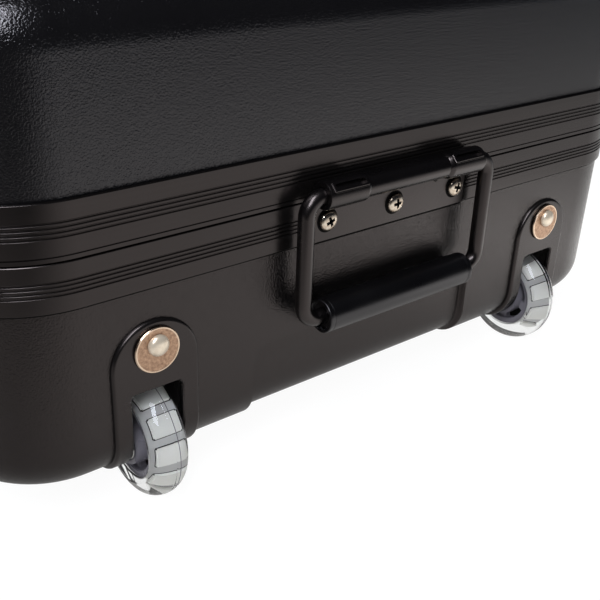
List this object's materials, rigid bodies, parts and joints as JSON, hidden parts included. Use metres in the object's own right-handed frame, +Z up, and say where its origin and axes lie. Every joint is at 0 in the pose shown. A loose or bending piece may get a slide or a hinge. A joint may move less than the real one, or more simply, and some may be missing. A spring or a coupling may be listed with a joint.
{
  "type": "keyboard case",
  "caption": "Long moulded hard case for a keyboard, with a hinged lid, draw latches, drop handles and skate wheels set into one end.",
  "frame": {"origin": "on the floor, under the centre of the bounding box of the closed case lying on its wheels and feet", "axes": "+X along the case towards the wheels, +Y towards the hinges, -Y towards the latches, +Z up"},
  "size_m": [1.5378, 0.529, 0.268],
  "materials": {
    "moulded_shell": "satin",
    "valance": "satin",
    "seal_rubber": "matte",
    "foam": "matte",
    "wheel_housing": "satin",
    "clear_tyre": "gloss",
    "wheel_core": "satin",
    "steel": "gloss",
    "washer_brass": "satin",
    "nickel": "gloss",
    "black_steel": "satin",
    "grip_plastic": "satin"
  },
  "bodies": {
    "case_base": {"base_shell": "moulded_shell", "base_valance": "valance", "rim_seal": "seal_rubber", "base_lining": "foam", "wheel_housing_front": "wheel_housing", "washer_front": "washer_brass", "rivet_front": "nickel", "wheel_axle_front": "steel", "foot_front": "seal_rubber", "wheel_housing_back": "wheel_housing", "washer_back": "washer_brass", "rivet_back": "nickel", "wheel_axle_back": "steel", "foot_back": "seal_rubber", "wheel_end_handle_plate": "black_steel", "far_end_handle_plate": "black_steel", "front_handle_plate": "black_steel", "wheel_end_handle_screw_1": "nickel", "wheel_end_handle_screw_2": "nickel", "wheel_end_handle_screw_3": "nickel", "hinge_1_base_leaf": "black_steel", "hinge_1_pin": "steel", "hinge_2_base_leaf": "black_steel", "hinge_2_pin": "steel", "hinge_3_base_leaf": "black_steel", "hinge_3_pin": "steel", "latch_1_plate": "black_steel", "latch_2_plate": "black_steel", "latch_3_plate": "black_steel", "latch_4_plate": "black_steel"},
    "lid": {"lid_shell": "moulded_shell", "lid_valance": "valance", "lid_lining": "foam", "hinge_1_lid_leaf": "black_steel", "hinge_2_lid_leaf": "black_steel", "hinge_3_lid_leaf": "black_steel", "latch_1_keeper": "nickel", "latch_2_keeper": "nickel", "latch_3_keeper": "nickel", "latch_4_keeper": "nickel"},
    "wheel_front": {"tyre_front": "clear_tyre", "wheel_core_front": "wheel_core", "wheel_bearings_front": "steel"},
    "wheel_back": {"tyre_back": "clear_tyre", "wheel_core_back": "wheel_core", "wheel_bearings_back": "steel"},
    "wheel_end_bail": {"wheel_end_handle_bail": "black_steel", "wheel_end_handle_grip": "grip_plastic"},
    "far_end_bail": {"far_end_handle_bail": "black_steel", "far_end_handle_grip": "grip_plastic"},
    "front_bail": {"front_handle_bail": "black_steel", "front_handle_grip": "grip_plastic"},
    "latch_1_lever": {"latch_1_lever": "nickel"},
    "latch_1_claw": {"latch_1_claw": "nickel"},
    "latch_2_lever": {"latch_2_lever": "nickel"},
    "latch_2_claw": {"latch_2_claw": "nickel"},
    "latch_3_lever": {"latch_3_lever": "nickel"},
    "latch_3_claw": {"latch_3_claw": "nickel"},
    "latch_4_lever": {"latch_4_lever": "nickel"},
    "latch_4_claw": {"latch_4_claw": "nickel"}
  },
  "joints": [
    {"name": "lid_hinge", "type": "hinge", "parent": "case_base", "child": "lid", "pos_m": [0, 0.26045, 0.1535], "axis": [-1, 0, 0], "range_deg": [0, 100]},
    {"name": "wheel_front_spin", "type": "hinge", "parent": "case_base", "child": "wheel_front", "pos_m": [0.7316, -0.14915, 0.035], "axis": [0, 1, 0], "continuous": true},
    {"name": "wheel_back_spin", "type": "hinge", "parent": "case_base", "child": "wheel_back", "pos_m": [0.7316, 0.15805, 0.035], "axis": [0, 1, 0], "continuous": true},
    {"name": "wheel_end_handle_swing", "type": "hinge", "parent": "case_base", "child": "wheel_end_bail", "pos_m": [0.7589, 0.00705, 0.1589], "axis": [0, -1, 0], "range_deg": [-0.5, 100]},
    {"name": "far_end_handle_swing", "type": "hinge", "parent": "case_base", "child": "far_end_bail", "pos_m": [-0.7589, 0.00445, 0.1589], "axis": [0, 1, 0], "range_deg": [-0.5, 100]},
    {"name": "front_handle_swing", "type": "hinge", "parent": "case_base", "child": "front_bail", "pos_m": [0, -0.25445, 0.1589], "axis": [-1, 0, 0], "range_deg": [-0.5, 100]},
    {"name": "latch_1_swing", "type": "hinge", "parent": "case_base", "child": "latch_1_lever", "pos_m": [-0.56, -0.25075, 0.144], "axis": [-1, 0, 0], "range_deg": [-12, 95]},
    {"name": "latch_1_claw_swing", "type": "hinge", "parent": "latch_1_lever", "child": "latch_1_claw", "pos_m": [-0.56, -0.25184, 0.13503], "axis": [-1, 0, 0], "range_deg": [-95, 12]},
    {"name": "latch_2_swing", "type": "hinge", "parent": "case_base", "child": "latch_2_lever", "pos_m": [-0.23, -0.25075, 0.144], "axis": [-1, 0, 0], "range_deg": [-12, 95]},
    {"name": "latch_2_claw_swing", "type": "hinge", "parent": "latch_2_lever", "child": "latch_2_claw", "pos_m": [-0.23, -0.25184, 0.13503], "axis": [-1, 0, 0], "range_deg": [-95, 12]},
    {"name": "latch_3_swing", "type": "hinge", "parent": "case_base", "child": "latch_3_lever", "pos_m": [0.23, -0.25075, 0.144], "axis": [-1, 0, 0], "range_deg": [-12, 95]},
    {"name": "latch_3_claw_swing", "type": "hinge", "parent": "latch_3_lever", "child": "latch_3_claw", "pos_m": [0.23, -0.25184, 0.13503], "axis": [-1, 0, 0], "range_deg": [-95, 12]},
    {"name": "latch_4_swing", "type": "hinge", "parent": "case_base", "child": "latch_4_lever", "pos_m": [0.56, -0.25075, 0.144], "axis": [-1, 0, 0], "range_deg": [-12, 95]},
    {"name": "latch_4_claw_swing", "type": "hinge", "parent": "latch_4_lever", "child": "latch_4_claw", "pos_m": [0.56, -0.25184, 0.13503], "axis": [-1, 0, 0], "range_deg": [-95, 12]}
  ],
  "couplings": [
    {"joint": "latch_1_claw_swing", "follows": "latch_1_swing", "ratio": -1},
    {"joint": "latch_2_claw_swing", "follows": "latch_2_swing", "ratio": -1},
    {"joint": "latch_3_claw_swing", "follows": "latch_3_swing", "ratio": -1},
    {"joint": "latch_4_claw_swing", "follows": "latch_4_swing", "ratio": -1}
  ]
}
